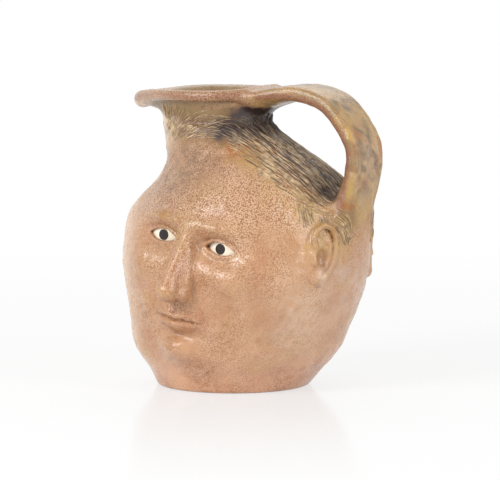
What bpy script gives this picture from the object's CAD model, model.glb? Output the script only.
"""A face jug in salt-glazed stoneware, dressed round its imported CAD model.

The clay is modelled as one field of distances, the way a potter luts and smooths the pieces of
such a jug into one skin, and is then cut into a front and a back of the head, the neck with its
rim, and the strap handle. The eyes are let in, and the hair is laid on stroke by stroke.
Lengths in the clay's own functions are in millimetres, and Blender's are in metres.
"""

import itertools
import math

import bmesh
import bpy
import numpy as np
import openvdb
from bpy.props import FloatProperty, FloatVectorProperty, IntProperty, PointerProperty
from bpy.types import Operator, Panel, PropertyGroup
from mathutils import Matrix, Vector
from mathutils.bvhtree import BVHTree
from mathutils.kdtree import KDTree


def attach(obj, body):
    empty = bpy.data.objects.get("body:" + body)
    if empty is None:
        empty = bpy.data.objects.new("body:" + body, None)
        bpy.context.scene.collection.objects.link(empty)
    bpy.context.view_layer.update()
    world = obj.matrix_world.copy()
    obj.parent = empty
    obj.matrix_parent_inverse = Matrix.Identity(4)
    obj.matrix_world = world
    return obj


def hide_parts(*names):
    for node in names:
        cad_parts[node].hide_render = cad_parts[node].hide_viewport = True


bl_info = {
    "name": "Face jug",
    "version": (1, 0, 0),
    "blender": (4, 5, 0),
    "location": "View3D > Sidebar > Face jug",
    "description": "Models a salt-glazed stoneware face jug round its packed CAD model",
    "category": "Object",
}

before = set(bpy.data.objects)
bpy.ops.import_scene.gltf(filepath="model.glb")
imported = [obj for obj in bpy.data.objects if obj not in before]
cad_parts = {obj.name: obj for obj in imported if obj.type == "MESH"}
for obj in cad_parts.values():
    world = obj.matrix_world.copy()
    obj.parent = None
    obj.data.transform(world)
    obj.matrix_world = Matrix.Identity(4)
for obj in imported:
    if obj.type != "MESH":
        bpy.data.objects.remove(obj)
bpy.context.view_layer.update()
MM = 0.001


# Sizes in millimetres. Those of the body, the rim, the handle and the face's plan are the CAD's.

BELLY_HEIGHT, BELLY_LENGTH, BELLY_WIDTH, BELLY_SHIFT = 78.0, 73.4, 64.6, 7.7
FOOT_RADIUS, FOOT_ROUNDING, FLOOR, FLOOR_CORNER = 44.0, 1.6, 8.0, 22.0
WALL, NECK_WALL = 8.0, 6.0
RIM_HEIGHT, RIM_THICKNESS, RIM_LENGTH, RIM_WIDTH, RIM_SHIFT = 172.5, 6.6, 40.0, 33.0, -13.0
NECK_HEIGHT, NECK_LENGTH, NECK_WIDTH, NECK_SHIFT = 153.0, 33.8, 25.7, -10.8
JOINT_HEIGHT = 146.0
LIP_REACH, LIP_DROOP, LIP_SPREAD, LIP_THICKENING = 14.0, 5.4, 34.0, 3.2
HANDLE_RISE, HANDLE_RISE_SPREAD = 2.5, 42.0
STRAP_WIDTH, STRAP_THICKNESS, STRAP_REACH, STRAP_TOP = 33.0, 10.5, 88.0, 172.0
THIRD, CHIN_HEIGHT, EYE_LINE = 40.0, 18.0, 70.0
EYE_WIDTH, EYE_RADIUS, EYE_PROUD, IRIS_RADIUS, IRIS_RAISE = 19.5, 15.0, 3.0, 3.1, 0.4
EAR_ANGLE, EAR_LINE = math.radians(66 - 90), 64.0
TILT_COS, TILT_SIN = math.cos(math.radians(9)), math.sin(math.radians(9))
LOWER_SWELL = np.array([
    (0, 0), (0.05, 0.09), (0.14, 0.26), (0.23, 0.47), (0.32, 0.62),
    (0.46, 0.73), (0.59, 0.83), (0.73, 0.93), (0.91, 1), (1, 1)])
LOWER_LEAN = np.array([(0, 0), (0.14, 0.25), (0.32, 0.4), (0.59, 0.85), (0.73, 1), (1, 1)])
SHOULDER = np.array([
    (0, 0, 0), (0.29, 0.08, -0.03), (0.43, 0.22, -0.16), (0.56, 0.41, -0.27),
    (0.69, 0.62, -0.08), (0.83, 0.83, 0.43), (0.91, 0.93, 0.72), (1, 1, 1)])

# A face's broad swellings in shares of its third: out, up, spread out, spread up, height.
BROAD_RELIEF = (
    (0, 2.5, 0.8, 0.42, 0.06), (0.45, 2.04, 0.36, 0.12, 0.1), (0, 1.98, 0.14, 0.2, 0.05),
    (0.5, 1.73, 0.3, 0.19, -0.18), (0.2, 1.72, 0.11, 0.16, -0.05), (0.8, 1.36, 0.32, 0.24, 0.12),
    (1.2, 1.95, 0.24, 0.32, -0.05), (0, 0.74, 0.36, 0.3, 0.13), (0.62, 0.72, 0.2, 0.3, 0.03),
    (0, 0.43, 0.3, 0.08, -0.07), (0, 0.2, 0.3, 0.19, 0.17))

# How the hollow dips behind the eyes, in the same shares.
BORE_RELIEF = ((0.25, 1.73, 0.6, 0.5, -0.19),)

# The strap's middle line in shares of its reach and its top, up to 1.3 mm off the CAD's.
STRAP_PATH = (
    (0.136, 0.97), (0.34, 0.987), (0.566, 0.998), (0.774, 0.967), (0.907, 0.901), (0.994, 0.818),
    (0.986, 0.733))

# Its lower end: how many thicknesses outside the wall, and the height in shares of its top.
STRAP_ROOT = ((0.762, 0.64), (0.241, 0.523), (-0.245, 0.407))

# Its section: share of its length, and shares of the width and of the thickness out and in.
STRAP_SECTION = np.array([
    (0, 1.36, 0.86, 2.2), (0.08, 1.24, 0.88, 1.5), (0.16, 1.08, 0.95, 1.08), (0.26, 1, 1, 1),
    (0.6, 0.96, 1, 1), (0.72, 0.96, 1, 1.25), (0.8, 0.94, 0.86, 1.5), (0.88, 0.92, 0.6, 1.3),
    (1, 0.9, 0.28, 1)])

# The nose on the face sheet: across it, thirds up from the chin, out of the wall, radius.
NOSE_RIDGE = (
    (0, 2.0, -2.6, 4.2), (0, 1.76, 1.0, 3.8), (0, 1.5, 5.9, 3.9), (0, 1.26, 10.8, 4.5),
    (0, 1.12, 13.2, 5.2))
NOSE_FLANK = ((2.2, 1.62, 0.2, 4.6), (4.4, 1.2, 4.0, 5.2))
NOSE_BASE = ((0, 1.02, 13.0, 2.1), (0, 0.965, 5.0, 2.5))

# The ear's rolls of clay: back, up and out from its middle, radius. Each has its own fillet.
EAR_ROLLS = (
    (1.1, ((-1.8, 1.5, 0.9, 1.0), (-4.6, 4.6, 1.8, 1.4), (-6.4, 9.2, 2.0, 1.6),
           (-4.4, 14.2, 2.2, 1.7), (0.2, 16.8, 2.3, 1.8), (5.0, 15.4, 2.4, 1.8),
           (8.0, 10.6, 2.4, 1.8), (8.8, 4.0, 2.2, 1.7), (7.8, -3.0, 1.9, 1.6),
           (5.4, -9.0, 1.6, 1.6), (2.4, -13.4, 1.2, 2.0))),
    (1.0, ((3.0, 11.6, 1.0, 1.1), (4.8, 5.6, 1.6, 1.4), (4.4, -1.4, 1.7, 1.4),
           (2.2, -6.6, 1.5, 1.5))),
    (1.0, ((-1.6, 11.0, 0.7, 1.0), (3.6, 6.8, 1.2, 1.2))),
    (1.3, ((-5.6, 0.6, 1.0, 1.6), (-4.6, -4.6, 1.7, 1.9))))

# The hairline on the tilted face sheet: across from the midline, up from the chin.
HAIRLINE = np.array([
    (-90, 150), (-60, 140), (-52, 130), (-46, 123), (-40, 121), (-10, 129), (2, 125), (21, 117),
    (36, 110), (48, 104), (56, 101), (64, 99), (90, 98)], float)

# The way the hair is combed: x in millimetres, degrees above the way towards the handle.
HEADING = np.array([
    (-50, 88), (-32, 74), (-22, 54), (-12, 30), (0, 8), (10, -10), (22, -26), (36, -38),
    (52, -42), (66, -34), (76, -22)], float)

# Locks beside the handle's root: x, y and z of the first stroke's start, heading, how many
# degrees the strokes turn, their length, their number, the step between them and their width.
LOCKS = (
    (81.0, -17.0, 108.0, -18, -50, 17, 8, 1.5, 1.5), (85.0, -13.0, 96.0, -70, 24, 9, 6, 1.5, 1.2),
    (66.5, -29.0, 110.0, -86, -8, 11, 5, 1.5, 1.3), (71.0, -29.0, 109.0, -70, -20, 9, 5, 1.5, 1.3),
    (78.0, -23.5, 106.0, -64, -26, 9, 5, 1.5, 1.2),
    (60.0, -30.0, 105.5, -80, 16, 8, 4, 1.6, 1.2), (46.0, -3.0, 140.0, -44, 8, 7, 2, 1.4, 2.1),
    (57.0, -5.0, 133.0, -44, -10, 8, 2, 1.5, 1.9))

# The heights that the hair starts at, the lengths of its strokes on the head and on the neck, and
# how far their middle lines are lifted off the skin.
HAIR_HEIGHTS, HEAD_STROKE, NECK_STROKE, STROKE_LIFT = (96, 159), (8, 15), (4.5, 7.5), 0.12

# Clay smoothed in under the neck and rounded off the brim, and the unevenness of fingers.
NECK_FILLET, BRIM_ROUNDING, FINGER_DEPTH, FINGER_SIZE = 2.5, 1.4, 0.24, 8.0

# Where the cuts between the pieces of clay run beside the handle, how wide they are there and
# between the ears, and the width beside the middle seam where no faces are thinned.
STRAP_CUT_X, STRAP_CUT_Y, EAR_CUT_Y, SEAM_CLEARANCE = 31, 30, 14, 1.5

# Soft spots of slip and glaze on the front, mirrored on the back: strength, place, size.
SPOTS = {
    "hair_ground": ((0.7, (84.5, -14, 101), 7),),
    "root": ((1.0, (73, -13, 119), 10),),
    "dark_slip": ((0.75, (9, -24, 147), 8),),
    "ochre_slip": ((0.9, (70, -29, 106), 9), (0.7, (82, -20, 84), 10), (0.5, (76, -27, 85), 13),
                   (1.2, (30, -30, 137), 8)),
    "rust": ((1.5, (21, -28.5, 139), 7), (0.5, (76, -24, 78), 6)),
    "bloom": ((0.7, (66, -32, 42), 25),),
    "flush": ((0.9, (2, -38, 128), 28), (0.6, (0, -60, 44), 24)),
    "olive": ((0.7, (-8, -36, 128), 24),),
    "pale": ((0.3, (70, -28, 40), 22),),
}


def linear(code):
    """A colour's sRGB hex code as linear red, green and blue."""
    shares = [int(code[at:at + 2], 16) / 255 for at in (1, 3, 5)]
    return [share / 12.92 if share <= 0.04045 else ((share + 0.055) / 1.055) ** 2.4
            for share in shares]


# What a user may change.


def length_setting(name, description, millimetres, least=0.1):
    """A setting for a length, given in millimetres and kept in metres."""
    return FloatProperty(name=name, description=description, default=millimetres * MM,
                         min=least * MM, unit="LENGTH", precision=5)


def colour_setting(name, description, code):
    """A setting for a colour, given by its sRGB hex code."""
    return FloatVectorProperty(name=name, description=description, subtype="COLOR",
                               default=linear(code), min=0, max=1)


class JugSizes(PropertyGroup):
    """How the clay is worked."""

    clay_grain: length_setting(
        "Clay grain", "Spacing of the field that the clay is modelled in", 0.65, 0.3)
    head_faces: IntProperty(
        name="Head faces", description="Most triangles in each half of the head",
        default=185000, min=1000)
    strap_fillet: length_setting(
        "Strap fillet", "How far clay is smoothed into the corners of the handle", 5)
    nose_fillet: length_setting("Nose fillet", "How far clay is smoothed in round the nose", 3.5)
    root_fillet: length_setting(
        "Root fillet", "How far the handle's lower end is smeared onto the head", 14)
    hair_strokes: IntProperty(
        name="Hair strokes", description="The most strokes combed for the hair, if their gap leaves room",
        default=2500, min=1)
    stroke_width: length_setting("Stroke width", "Width of one stroke of hair at its middle", 0.7)
    stroke_gap: length_setting("Stroke gap", "How near one stroke of hair may start to another", 0.82)
    hair_seed: IntProperty(
        name="Hair seed", description="Fixed seed that scatters the strokes of hair", default=7)


class JugColours(PropertyGroup):
    """The clay, the slips and the glaze."""

    buff: colour_setting("Buff body", "Stoneware under its salt glaze", "#bb906d")
    flush: colour_setting("Flush", "Where the fire turned the body red-brown", "#a66f4c")
    speckle: colour_setting(
        "Speckle", "Iron brown that shows between the grains of the glaze", "#7a4b33")
    ochre: colour_setting("Ochre", "Yellow-brown slip along the hair and on the handle", "#b08d50")
    olive: colour_setting("Olive grey", "Grey-green mottling on the handle", "#665540")
    rust: colour_setting("Rust", "Rust-red spots where iron gathered", "#9a5a28")
    bloom: colour_setting("Bloom", "Pale lilac-grey bloom of the salt", "#c0aca2")
    edge: colour_setting(
        "Bare edge", "Red-brown body where the glaze is thin on an edge", "#7c4a38")
    dark_slip: colour_setting("Dark slip", "Blue-black slip of the hair", "#33292a")
    hair_light: colour_setting(
        "Hair light", "Ridges of the hair where the slip was wiped off", "#dabf98")
    white_clay: colour_setting("White clay", "White clay of the eyes", "#ece3cf")


# The thrown and laid-on forms.


def bell(offset):
    """A swelling that is 1 at its middle and dies away smoothly on both sides."""
    return np.exp(-np.square(offset))


def ease(low, high, value):
    """A smooth step from 0 at low to 1 at high, which may lie either way round."""
    share = np.clip((value - low) / (high - low), 0, 1)
    return share * share * (3 - 2 * share)


def follow(table, place, column=1):
    """The values at places of a table of shares, by the same smooth curve as the CAD's."""
    stops, values = table[:, 0], table[:, column]
    slopes = np.empty_like(values)
    slopes[1:-1] = (values[2:] - values[:-2]) / (stops[2:] - stops[:-2])
    slopes[0] = (values[1] - values[0]) / (stops[1] - stops[0])
    slopes[-1] = (values[-1] - values[-2]) / (stops[-1] - stops[-2])
    at = np.clip(place, stops[0], stops[-1])
    low = np.clip(np.searchsorted(stops, at, side="left") - 1, 0, len(stops) - 2)
    span = stops[low + 1] - stops[low]
    share = (at - stops[low]) / span
    rise = share * share * (3 - 2 * share)
    bend = share * (1 - share) * ((1 - share) * slopes[low] - share * slopes[low + 1]) * span
    return values[low] + (values[low + 1] - values[low]) * rise + bend


def wall_oval(height):
    """The thrown wall's half length, half width and shift at heights up to the neck."""
    height = np.asarray(height, float)
    below = height / BELLY_HEIGHT
    above = (height - BELLY_HEIGHT) / (NECK_HEIGHT - BELLY_HEIGHT)
    swell, narrowing = follow(LOWER_SWELL, below), follow(SHOULDER, above)
    sizes = (
        (FOOT_RADIUS, BELLY_LENGTH, NECK_LENGTH, swell, narrowing),
        (FOOT_RADIUS, BELLY_WIDTH, NECK_WIDTH, swell, narrowing),
        (0.0, BELLY_SHIFT, NECK_SHIFT, follow(LOWER_LEAN, below), follow(SHOULDER, above, 2)))
    return [np.where(height <= BELLY_HEIGHT, foot + (belly - foot) * low,
                     belly + (neck - belly) * high) for foot, belly, neck, low, high in sizes]


def sheet_place(x, z):
    """Where an x and z lie on a face's tilted sheet: across its midline and up from its chin."""
    aside, above = x - BELLY_SHIFT, z - CHIN_HEIGHT - EYE_LINE
    return (aside * TILT_COS - above * TILT_SIN,
            EYE_LINE + aside * TILT_SIN + above * TILT_COS)


def sheet_point(across, up):
    """The x and z of a place on the face sheet."""
    rise = up - EYE_LINE
    return (BELLY_SHIFT + across * TILT_COS + rise * TILT_SIN,
            CHIN_HEIGHT + EYE_LINE - across * TILT_SIN + rise * TILT_COS)


def broad_relief(across, up, bumps=BROAD_RELIEF):
    """How far a face's broad forms stand out from the plain thrown wall."""
    aside, above = np.abs(across) / THIRD, up / THIRD
    return THIRD * sum(
        height * bell((aside - out) / spread_out) * bell((above - high) / spread_up)
        for out, high, spread_out, spread_up, height in bumps)


def bore_relief(across, up):
    """How far the hollow dips behind the eyes, so that their pockets don't pierce the wall."""
    return broad_relief(across, up, BORE_RELIEF)


def mouth_relief(across, up):
    """The lips, the groove between them, the furrow above them and the folds beside them."""
    aside, half = np.abs(across), 15.0
    reach = np.clip(aside / half, 0, 1)
    narrow = 1 - reach ** 2
    line = 26.4 - 0.45 * bell(across / 2.6) + 0.3 * bell((aside - 6.5) / 4) - 0.7 * reach ** 3
    upper = (up - line) / (4.5 * narrow ** 0.55 * (1 - 0.17 * bell(across / 2.1)) + 0.4)
    lower = (line - up) / (5.6 * narrow ** 0.6 + 0.4)

    def swell(share, low, high, fading):
        fullness = np.clip(share, 0, 1) ** 0.45 * (1 - ease(low, high, share) * fading)
        return np.where(share > 0, fullness, 0)

    rise = np.sqrt(narrow) * (3.5 * swell(upper, 0.4, 1.3, 0.98) + 4.2 * swell(lower, 0.5, 1.4, 1))
    rise -= 2.0 * bell((up - line) / 0.75) * (1 - ease(half - 2, half + 1.4, aside))
    rise -= 0.8 * bell((aside - half - 0.6) / 1.9) * bell((up - line - 0.2) / 2.0)
    furrow = ease(29.6, 31.4, up) * (1 - ease(36, 39, up))
    rise += furrow * (0.5 * bell((aside - 2.9) / 1.3) - 0.35 * bell(across / 1.7))
    fold = 12.2 + (42 - up) * 0.42
    return rise - 0.75 * bell((aside - fold) / 1.8) * ease(21, 30, up) * (1 - ease(39, 44, up))


def relief(across, up):
    """How far the modelled face stands out from the plain thrown wall."""
    return broad_relief(across, up) + mouth_relief(across, up)


def wall_points(heights, angles, outwards=0.0, skin=relief):
    """Rows of points of the head's wall, moved outwards along its plan's normal."""
    z, turn = np.broadcast_arrays(np.asarray(heights, float), np.asarray(angles, float))
    length, width, shift = wall_oval(z)
    cos, sin = np.cos(turn), np.sin(turn)
    normal = np.stack([cos / length, sin / width], -1)
    normal /= np.linalg.norm(normal, axis=-1, keepdims=True)
    x = shift + length * cos
    raised = skin(*sheet_place(x, z)) * np.abs(sin)
    y = width * sin + np.sign(sin) * raised
    return np.stack([x + normal[..., 0] * outwards, y + normal[..., 1] * outwards, z], -1)


def face_point(across, up, out, skin=None):
    """A point in front of the front face's plain wall, or of its modelled skin."""
    x, z = sheet_point(across, up)
    length, width, shift = wall_oval(z)
    share = np.clip((x - shift) / length, -1, 1)
    depth = width * np.sqrt(1 - share * share)
    raised = skin(across, up) if skin else 0.0
    return np.array([x, -(depth + raised + out), z], float)


def turned(count):
    """Angles evenly round the jug."""
    return np.arange(count) * (2 * math.pi / count)


def loft(rings):
    """Points and faces of a closed body skinned over rings, closed at its ends on their middles."""
    rings = np.asarray(rings, float)
    rows, count = rings.shape[:2]
    points = np.concatenate([rings.reshape(-1, 3), rings[[0, -1]].mean(axis=1)])
    row, side = np.meshgrid(np.arange(rows - 1), np.arange(count), indexing="ij")
    turn = (side + 1) % count
    quads = np.stack([
        row * count + side, row * count + turn, (row + 1) * count + turn,
        (row + 1) * count + side], -1).reshape(-1, 4)
    here, there = np.arange(count), (np.arange(count) + 1) % count
    last = (rows - 1) * count
    first_cap = np.stack([there, here, np.full(count, rows * count)], -1)
    last_cap = np.stack([last + here, last + there, np.full(count, rows * count + 1)], -1)
    return points, quads, np.concatenate([first_cap, last_cap])


def head_body():
    """The head's outside from its foot to inside the neck, as a closed body."""
    rounding = np.linspace(0, math.pi / 2, 6)
    low = [wall_points(FOOT_ROUNDING * (1 - math.cos(angle)), turned(720),
                       -FOOT_ROUNDING * (1 - math.sin(angle))) for angle in rounding]
    high = [wall_points(z, turned(720)) for z in np.arange(FOOT_ROUNDING + 0.6, 151, 0.6)]
    return loft(low + high)


def hollow_body():
    """The head's hollow up to just below the neck, with few faces because it is hardly seen."""
    corner_rows = FLOOR + FLOOR_CORNER * np.array([0, 0.1, 0.3, 0.6])
    top = JOINT_HEIGHT - 2
    rings = []
    for height in np.concatenate([corner_rows, np.linspace(FLOOR + FLOOR_CORNER, top, 22)]):
        short = max(0.0, FLOOR_CORNER - (height - FLOOR))
        corner = FLOOR_CORNER - math.sqrt(FLOOR_CORNER ** 2 - short ** 2)
        narrow = 1.2 * ease(JOINT_HEIGHT - 14, top, height)
        inwards = WALL + (NECK_WALL - WALL) * height / JOINT_HEIGHT + corner + narrow
        rings.append(wall_points(height, turned(96), -inwards, bore_relief))
    return loft(rings)


def oval_ring(turn, length, width, shift, height):
    """Points of the neck's or the rim's plan."""
    return np.stack([shift + length * np.cos(turn), width * np.sin(turn),
                     np.broadcast_to(height, np.shape(turn))], -1)


def rim_bead(turn):
    """The middle of the rolled rim, the way it faces and its radius at angles about the jug."""
    away = np.degrees(np.abs(np.arctan2(np.sin(turn), np.cos(turn))))
    lip, handle = bell((180 - away) / LIP_SPREAD), bell(away / HANDLE_RISE_SPREAD)
    radius = (RIM_THICKNESS + LIP_THICKENING * lip) / 2
    middle = oval_ring(turn, RIM_LENGTH - radius, RIM_WIDTH - radius, RIM_SHIFT, RIM_HEIGHT)
    middle[..., 0] -= LIP_REACH * lip
    middle[..., 2] += HANDLE_RISE * handle - LIP_DROOP * lip - RIM_THICKNESS / 2
    outwards = middle * (1, 1, 0) - (NECK_SHIFT, 0, 0)
    return middle, outwards / np.linalg.norm(outwards, axis=-1, keepdims=True), radius


def collar_bodies():
    """The neck and rim filled to the brim, and the throat that is taken out of them."""
    turn = turned(360)
    middle, outwards, radius = rim_bead(turn)

    def around(angle):
        place = middle + outwards * (radius * math.cos(angle))[:, None]
        place[:, 2] += radius * math.sin(angle)
        return place

    def neck(height, moved):
        length, width, shift = wall_oval(height)
        return oval_ring(turn, length + moved, width + moved, shift, height)

    def flared(start, end, angle):
        place = start + (end - start) * (1 - math.cos(angle))
        place[:, 2] = start[:, 2] + (end[:, 2] - start[:, 2]) * math.sin(angle)
        return place

    quarter = math.pi / 2
    crest = around(quarter)
    outside = [neck(height, 0) for height in np.arange(138, NECK_HEIGHT + 0.1, 1)]
    tuck = -quarter - math.radians(38)
    outside += [flared(neck(NECK_HEIGHT, 0), around(tuck), angle)
                for angle in quarter * np.arange(1, 20) / 20]
    outside += [around(angle) for angle in np.linspace(tuck, quarter, 20)]
    throat = [neck(height, -NECK_WALL) for height in np.arange(138, NECK_HEIGHT + 0.1, 1)]
    throat += [flared(neck(NECK_HEIGHT, -NECK_WALL), crest, angle)
               for angle in quarter * np.arange(1, 24) / 24]
    throat += [crest, crest + (0, 0, 8), crest + (0, 0, 16)]
    return loft(outside), loft(throat)


def strap_line():
    """The strap's middle line, stepped finely, with its share of the length at each point."""
    points = [(out * STRAP_REACH, up * STRAP_TOP) for out, up in STRAP_PATH]
    for outside, up in STRAP_ROOT:
        half_length, _, shift = wall_oval(up * STRAP_TOP)
        points.append((shift + half_length + outside * STRAP_THICKNESS, up * STRAP_TOP))
    knots = np.array(points, float)
    knots = np.vstack([2 * knots[0] - knots[1], knots, 2 * knots[-1] - knots[-2]])
    gaps = np.linalg.norm(np.diff(knots, axis=0), axis=1) ** 0.5
    share = np.linspace(0, 1, 40, endpoint=False)[:, None]

    def slope(before, here, after, gap_before, gap_after, gap):
        return ((here - before) / gap_before - (after - before) / (gap_before + gap_after)
                + (after - here) / gap_after) * gap

    line = []
    for at in range(1, len(knots) - 2):
        before, start, end, after = knots[at - 1:at + 3]
        first, second, third = gaps[at - 1:at + 2]
        leave = slope(before, start, end, first, second, second)
        arrive = slope(start, end, after, second, third, second)
        line.append(start + leave * share + (3 * (end - start) - 2 * leave - arrive) * share ** 2
                    + (2 * (start - end) + leave + arrive) * share ** 3)
    line = np.vstack([*line, knots[-2:-1]])
    along = np.concatenate([[0], np.cumsum(np.linalg.norm(np.diff(line, axis=0), axis=1))])
    return line, along / along[-1]


def strap_rings(rows=150, sides=96):
    """The strap's outlines: a shallow back between two beaded edges, flattened out at its root."""
    line, share = strap_line()
    wall_curve = BELLY_WIDTH ** 2 / BELLY_LENGTH
    turn = turned(sides)
    cos, sin = np.cos(turn), np.sin(turn)
    across = np.sign(cos) * np.abs(cos) ** 0.5
    bead = 0.7 * bell((np.abs(across) - 0.9) / 0.1) - 0.4 * bell((np.abs(across) - 0.68) / 0.14)
    rings = []
    for place in np.linspace(0, 1, rows):
        at, ahead, behind = (
            np.array([np.interp(stop, share, line[:, axis]) for axis in (0, 1)])
            for stop in (place, min(place + 0.005, 1), max(place - 0.005, 0)))
        along = (ahead - behind) / np.linalg.norm(ahead - behind)
        half, thick_out, thick_in = (
            size / 2 * float(follow(STRAP_SECTION, place, column))
            for size, column in ((STRAP_WIDTH, 1), (STRAP_THICKNESS, 2), (STRAP_THICKNESS, 3)))
        started, low_down = float(ease(0, 0.07, place)), float(ease(0.66, 0.84, place))
        thick_in *= 0.42 + 0.58 * started
        half *= 0.86 + 0.14 * started
        wrap = float(ease(0.7, 0.9, place)) / (2 * wall_curve)
        shaped = float(ease(0.02, 0.12, place) * (1 - ease(0.70, 0.82, place)))
        square = 0.94 + 0.26 * low_down
        keel = 0.5 + 1.1 * float(1 - ease(0.08, 0.24, place)) + 0.7 * low_down
        hollowed = 1 - 0.2 * (1 - across ** 2) * shaped
        deep = np.where(sin > 0, np.abs(sin) ** square * hollowed, -np.abs(sin) ** keel)
        y = across * half
        out = deep * np.where(sin > 0, thick_out, thick_in) - y * y * wrap
        out += np.where(sin > 0, bead, 0) * shaped
        rings.append(np.stack([at[0] - along[1] * out, y, at[1] + along[0] * out], -1))
    return np.array(rings)


# The clay as one field.


def joined(one, other, fillet):
    """Two bodies' distances as one body's, with clay smoothed into the corner between them."""
    share = np.clip(fillet - np.abs(one - other), 0, None) / fillet
    return np.minimum(one, other) - share * share * fillet / 4


def cut(one, other, rounding):
    """One body's distances with another body taken out of it, its edges rounded over."""
    return -joined(-one, other, rounding)


def tapered(places, start, end, start_radius, end_radius):
    """Distances to a tapered roll of clay with round ends."""
    start, end = np.asarray(start, float), np.asarray(end, float)
    line = end - start
    share = np.clip((places - start) @ line / (line @ line), 0, 1)
    from_line = np.linalg.norm(places - start - share[..., None] * line, axis=-1)
    return from_line - (start_radius + (end_radius - start_radius) * share)


def roll(places, stops):
    """Distances to a roll of clay along stops, each a point and a radius."""
    return np.minimum.reduce([
        tapered(places, one[0], two[0], one[1], two[1]) for one, two in zip(stops, stops[1:])])


def egg(places, middle, axes, radii):
    """Distances, near enough, to an egg with three half sizes along three axes."""
    local = (places - middle) @ np.asarray(axes, float).T / radii
    size = np.linalg.norm(local, axis=-1)
    steep = np.linalg.norm(local / radii, axis=-1)
    return size * (size - 1) / np.maximum(steep, 1e-6)


class Clay:
    """The front half of the jug's clay as a grid of distances to its skin, in millimetres."""

    low, high, band = (-73.0, -88.0, -3.0), (98.0, 0.0, 183.0), 14.0

    def __init__(self, grain):
        self.grain = grain
        self.start = [math.floor(edge / grain) for edge in self.low]
        ends = [math.ceil(self.high[0] / grain), 0, math.ceil(self.high[2] / grain)]
        self.shape = [end - start + 1 for start, end in zip(self.start, ends)]
        self.axes = [(start + np.arange(size)) * grain
                     for start, size in zip(self.start, self.shape)]
        self.transform = openvdb.createLinearTransform(voxelSize=grain)

    def distances(self, body):
        """Distances to a closed body's skin on the grid, negative inside it."""
        points, quads, triangles = body
        grid = openvdb.FloatGrid.createLevelSetFromPolygons(
            np.ascontiguousarray(points, np.float32),
            triangles=np.ascontiguousarray(triangles, np.uint32),
            quads=np.ascontiguousarray(quads, np.uint32),
            transform=self.transform, halfWidth=self.band / self.grain)
        field = np.empty(self.shape, np.float32)
        grid.copyToArray(field, ijk=tuple(self.start))
        return field

    def around(self, low, high):
        """The slices of the grid inside a box, and the places of its points."""
        picks = [slice(*np.searchsorted(axis, edges)) for axis, edges in
                 zip(self.axes, zip(low, high))]
        places = np.meshgrid(*[axis[pick] for axis, pick in zip(self.axes, picks)], indexing="ij")
        return tuple(picks), np.stack(places, -1)

    def press(self, field, depth, size, seed):
        """Leaves the unevenness of fingers in the skin, and presses it in under the hair."""
        near = np.nonzero(np.abs(field) < 2)
        places = np.stack([axis[index] for axis, index in zip(self.axes, near)], -1)
        depth = depth * (1 - 0.6 * ease(138, 156, places[:, 2])) * ease(2, 22, places[:, 2])
        field[near] += depth * (wander(places, size, seed) + 0.5 * wander(places, size / 2, seed + 1))
        under_hair = ease(0, 9, hair_depth(places)) * (1 - ease(147, 156, places[:, 2]))
        field[near] += 1.3 * under_hair * (1 - strap_share(places)) * ease(-10, 20, places[:, 0])

    def skin(self, field):
        """The whole jug's skin, front and mirrored back, as points and faces in metres."""
        whole = np.concatenate([field, field[:, -2::-1]], axis=1)
        grid = openvdb.FloatGrid(self.band)
        grid.transform = self.transform
        grid.copyFromArray(np.ascontiguousarray(whole), ijk=tuple(self.start), tolerance=0.0)
        points, triangles, quads = grid.convertToPolygons(isovalue=0.0, adaptivity=0.0)
        return points * MM, triangles, quads


FACE_AXES = np.array([(TILT_COS, 0, -TILT_SIN), (TILT_SIN, 0, TILT_COS), (0, -1, 0)], float)


def toed(degrees):
    """The face's axes, swung round the way up by degrees."""
    turn = math.radians(degrees)
    across, up, out = FACE_AXES
    return np.array([math.cos(turn) * across - math.sin(turn) * out, up,
                     math.cos(turn) * out + math.sin(turn) * across])


def add_nose(clay, field, fillet):
    """Lays the nose on the front face and opens its nostrils."""
    def at(across, up, out):
        return face_point(across, up * THIRD, out)

    def rolled(stops, side=1):
        return roll(places, [(at(side * across, up, out), radius)
                             for across, up, out, radius in stops])

    foot, top = at(0, 0.8, 0), at(0, 2.1, 0)
    pick, places = clay.around((foot[0] - 26, -99, foot[2] - 4), (top[0] + 26, -40, top[2] + 4))
    body = rolled(NOSE_RIDGE)
    for side in (-1, 1):
        body = joined(body, rolled(NOSE_FLANK, side), 4.0)
    body = joined(body, egg(places, at(0, 1.08, 12.6), FACE_AXES, (6.4, 5.8, 6.3)), 3.5)
    for side in (-1, 1):
        wing = egg(places, at(side * 6.2, 1.045, 5.2), toed(side * 16), (3.4, 4.4, 5.9))
        body = joined(body, wing, 2.8)
    face = joined(field[pick], joined(body, rolled(NOSE_BASE), 1.8), fillet)
    for side in (-1, 1):
        hole = egg(places, at(side * 4.1, 0.955, 8.8), toed(-side * 14), (1.9, 3.0, 3.5))
        face = cut(face, hole, 0.9)
    field[pick] = face


def eye_frame(side):
    """The front eye's foremost point, and its axes across the face, up it and out of it."""
    return face_point(side * EYE_WIDTH, EYE_LINE, EYE_PROUD, broad_relief), FACE_AXES


def eye_edges(side, across):
    """How far the opening reaches up and down at places across an eye, nose side given by side."""
    share = across / (EYE_WIDTH / 2)
    inner = -side * share
    open_share = np.clip(1 - share * share, 0, None)
    return 4.3 * open_share * (1 + 0.16 * inner), 3.0 * open_share * (1 - 0.14 * inner)


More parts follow.
